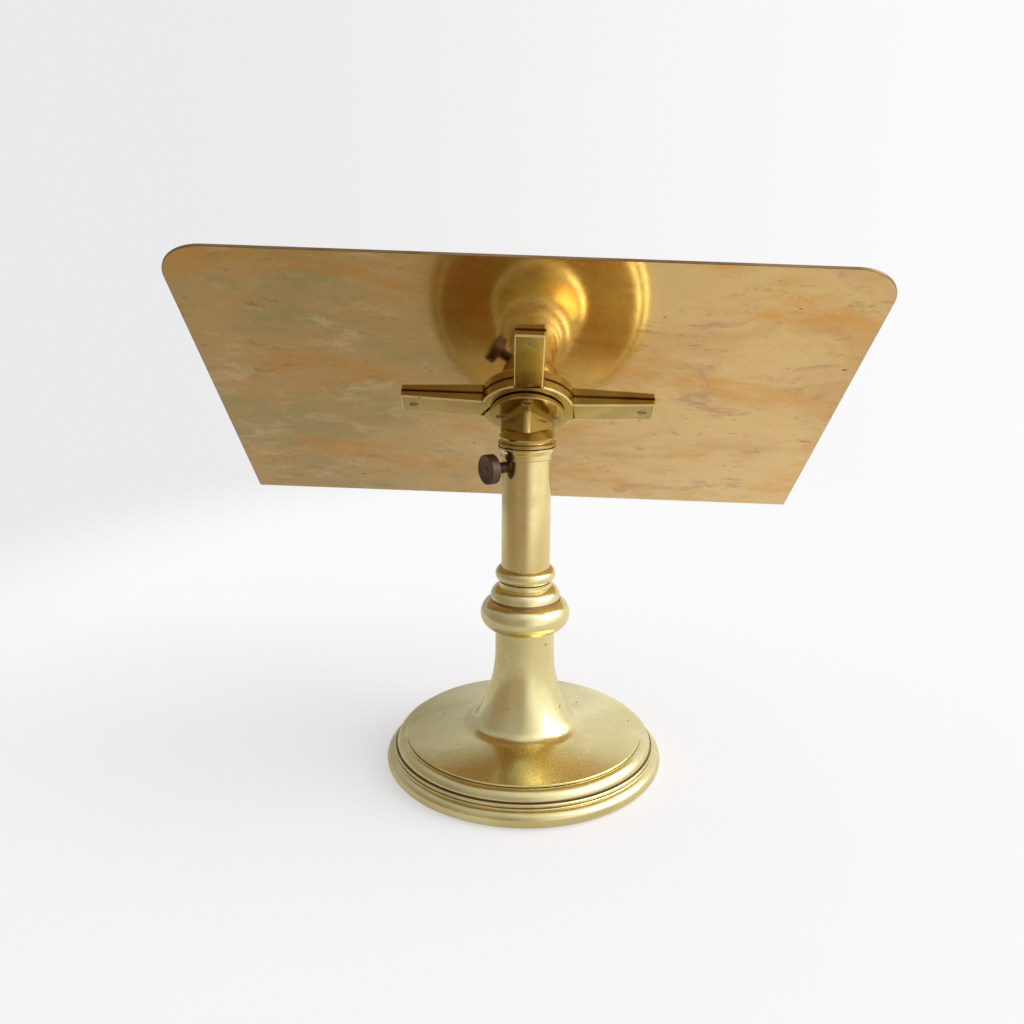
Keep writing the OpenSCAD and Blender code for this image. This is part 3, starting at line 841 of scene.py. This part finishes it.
spigot_r, spigot_foot = 11.9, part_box("head_casting")[0].z / MM
head_section = [(0, spigot_foot), (spigot_r, spigot_foot), (spigot_r, head_foot)]
head_section += [(collar_r - 0.6, head_foot)]
head_section += arc((collar_r - 0.6, head_foot + 0.6), 0.6, -80, 0, 5)
head_section += arc((collar_r - 0.9, head_foot + 1.7), 0.9, 0, 60, 6)
head_section += arc((collar_r + 1.6, 248.4), 3.6, 200, 150, 12)
head_section += [(head_r, cove_top), (hip_r + 2.3, hip_top - 1.9), (hip_r, hip_top), (0, hip_top)]
head = turn("head_casting_filed", head_section, 128)

bpy.ops.object.select_all(action="DESELECT")
bpy.ops.mesh.primitive_cube_add(size=1)
block = bpy.context.active_object
block.scale = (block_side * MM, block_side * MM, 60 * MM)
place_in_mesh(block)
bpy.ops.object.mode_set(mode="EDIT")
pick(block, lambda p: abs(p.z) < 1 * MM, "EDGE")
bpy.ops.mesh.bevel(offset=block_round * MM, segments=12, affect="EDGES")
bpy.ops.object.mode_set(mode="OBJECT")
leaning = Matrix.Translation((0, 0, 250 * MM)) @ Matrix.Rotation(-math.radians(block_lean), 4, "X")
leaning = leaning @ Matrix.Translation((0, block_shift * MM, 10 * MM))
leaning = leaning @ Matrix.Rotation(math.radians(45), 4, "Z")
place_in_mesh(block, leaning)
bpy.ops.object.select_all(action="DESELECT")
bpy.ops.mesh.primitive_cylinder_add(vertices=128, radius=head_r * MM, depth=34 * MM,
                                    location=(0, 0, (cove_top + 17) * MM))
sleeve = bpy.context.active_object
place_in_mesh(sleeve)
combine(block, sleeve, "INTERSECT")
combine(head, block)

bpy.ops.object.select_all(action="DESELECT")
bpy.ops.mesh.primitive_cube_add(size=0.12, location=(0, 0, flange_t * MM + 0.0595))
above = bpy.context.active_object
place_in_mesh(above, flange_axes)
combine(head, above, "DIFFERENCE")
rim = [(0, 0), (flange_r - 0.9, 0), (flange_r - 0.35, 0.15), (flange_r, 0.7), (flange_r, flange_t - 0.5)]
flange = turn("flange", rim + [(flange_r - 0.3, flange_t), (0, flange_t)], 160)
place_in_mesh(flange, flange_axes)
combine(head, flange)
print("head joined:", len(head.data.polygons), "faces")

# %% Cut the flange's screw holes and set the screws
flange_screw_pcr, flange_screw_r, flange_head_r = 18.7, 2.0, 3.4
for number, (bearing, slot_turn) in enumerate(zip((0, 180, 270), (70, 15, 5)), 1):
    angle = math.radians(bearing)
    spot = Vector((math.cos(angle), math.sin(angle), 0)) * flange_screw_pcr * MM
    sink(head, flange_screw_r, flange_head_r, 0, flange_t + 1, spot, flange_axes)
    screw = sunk_screw(f"flange_screw_{number}", flange_screw_r, flange_head_r, 0, sheet_foot - 1, slot_turn)
    place_in_mesh(screw, flange_axes @ Matrix.Translation(spot))
    finish_piece(screw, "flange_screws", screw_brass, "desk", 30)
head.data.materials.append(cast_brass)
head.data.materials.append(polished_and_edge_highlight)
# The bevel gives the head's rounded edges the polished brass: worn bright, and a painted highlight along the
# edges as well.
ease_edges(head, 0.35, 2, 35)
head.data.materials.append(tarnish_and_shade_brass)
for face in head.data.polygons:
    where = face.center / MM
    if where.z < head_foot + 0.35 or (math.hypot(where.x, where.y) < spigot_r + 0.5 and where.z < 243):
        face.material_index = 2
finish_piece(head, "head_casting", cast_brass, "desk", 50, flat_faces=True)

# %% [markdown]
# ## Clamp screw
#
# The clamp screw holds the stem at its height. Its head is a thick disc with a face that is turned
# slightly hollow, and its shank has a fine thread, drawn here as close ridges. Both are turned on the
# screw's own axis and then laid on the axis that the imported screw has.

# %% Turn the clamp screw
clamp_axes = Matrix.Translation((0, 0, clamp_z)) @ clamp_turn
clamp_r, clamp_in, clamp_t = 10.5, 27.0, 7.0
face = clamp_in + clamp_t
disc = [(0, clamp_in + 0.3), (2.6, clamp_in + 0.3), (7.4, clamp_in), (clamp_r - 0.9, clamp_in)]
disc += arc((clamp_r - 0.9, clamp_in + 0.9), 0.9, -80, 0, 6)
disc += arc((clamp_r - 0.8, face - 0.8), 0.8, 0, 88, 6)
disc += [(clamp_r - 1.3, face - 0.1), (clamp_r - 2.0, face - 0.35), (5.2, face - 0.5), (2.6, face - 0.5)]
disc += [(2.4, face - 0.3), (1.6, face - 0.12), (0, face - 0.05)]
clamp_head = turn("clamp_screw_disc", disc, 96)
place_in_mesh(clamp_head, clamp_axes)
finish_piece(clamp_head, "clamp_screw_head", bronze, "clamp_screw", 30)

pitch, crest, root = 25.4 / 26, 3.92, 3.4
shank_from, shank_to = 16.1, clamp_in + 0.4
turns = int((shank_to - shank_from) / pitch)
thread = [(0, shank_from)]
for i in range(turns):
    z = shank_from + i * pitch
    thread += [(root, z), (crest, z + 0.35 * pitch), (crest, z + 0.6 * pitch)]
thread += [(root, shank_from + turns * pitch), (root, shank_to), (0, shank_to)]
shank = turn("clamp_screw_thread", thread, 64)
place_in_mesh(shank, clamp_axes)
finish_piece(shank, "clamp_screw_shank", bronze, "clamp_screw", 20)

# %% [markdown]
# ## Baize
#
# A disc of green baize is glued into the foot so that the brass doesn't scratch the table. It can
# only be seen from below. Felted wool has no weave to draw, only a soft, uneven nap, so the disc
# is a grid of inset rings with a fuzzy, uneven material.

# %% Cut the baize
baize_material, tree, shader = new_material("green_baize")
nap = noise(tree, place_of(tree), 900, 4, 0.7)
worn = noise(tree, place_of(tree), 30, 4, 0.6)
felt = blend_colour(tree, band(tree, worn, 0.35, 0.7), (0.035, 0.11, 0.045), (0.07, 0.15, 0.06))
felt = blend_colour(tree, band(tree, nap, 0.4, 0.7, 0, 0.5), felt, (0.02, 0.06, 0.025))
tree.links.new(felt, shader.inputs["Base Color"])
shader.inputs["Roughness"].default_value = 0.95
shader.inputs["Sheen Weight"].default_value = 0.4
fuzz = add_node(tree, "ShaderNodeBump", {"Height": nap, "Strength": 0.6, "Distance": 0.3 * MM})
tree.links.new(fuzz.outputs[0], shader.inputs["Normal"])

baize_r = pad_r - 0.1
baize_insets = 6
bpy.ops.object.select_all(action="DESELECT")
bpy.ops.mesh.primitive_circle_add(vertices=128, radius=baize_r * MM, fill_type="NGON",
                                  location=(0, 0, 0.3 * MM))
baize = bpy.context.active_object
baize.name = baize.data.name = "baize_disc"
place_in_mesh(baize)
bpy.ops.object.mode_set(mode="EDIT")
bpy.ops.mesh.select_all(action="SELECT")
for _ in range(baize_insets):
    bpy.ops.mesh.inset(thickness=baize_r / (baize_insets + 1) * MM)
bpy.ops.object.mode_set(mode="OBJECT")
cloth = baize.modifiers.new("cloth_thickness", "SOLIDIFY")
cloth.thickness, cloth.offset = 1.1 * MM, 1
finish_piece(baize, "baize_pad", baize_material, "column", 60)

# %% [markdown]
# ## Pieces that keep their imported shape
#
# The guide, the plug, the pins and the packing are hidden inside or seen only as a thin line, and
# the imported shapes already say what they are. They only need the right metal.

# %% Give the inner pieces their materials
# The packing is near black: a fibre washer that is dark enough to paint the shadow in the thin gap between
# the flange and the bracket.
fibre_and_gap_shade = brass("packing_fibre", (0.03, 0.022, 0.018), (0.02, 0.015, 0.012), (0.05, 0.035, 0.025), 0.6, 0.8)
fibre_and_gap_shade.node_tree.nodes["Principled BSDF"].inputs["Metallic"].default_value = 0
inner = {"packing_washer": fibre_and_gap_shade, "guide_ring": polished_and_edge_highlight, "stem_plug": polished_and_edge_highlight}
screw_nodes = ("guide_washer", "guide_screw", "head_pin", "clamp_shoe", "foot_screws")
inner |= {node: screw_brass for node in screw_nodes}
for node, material in inner.items():
    frame["nodes"][node].data.materials.clear()
    frame["nodes"][node].data.materials.append(material)
print(len(inner), "packed pieces keep their shape")
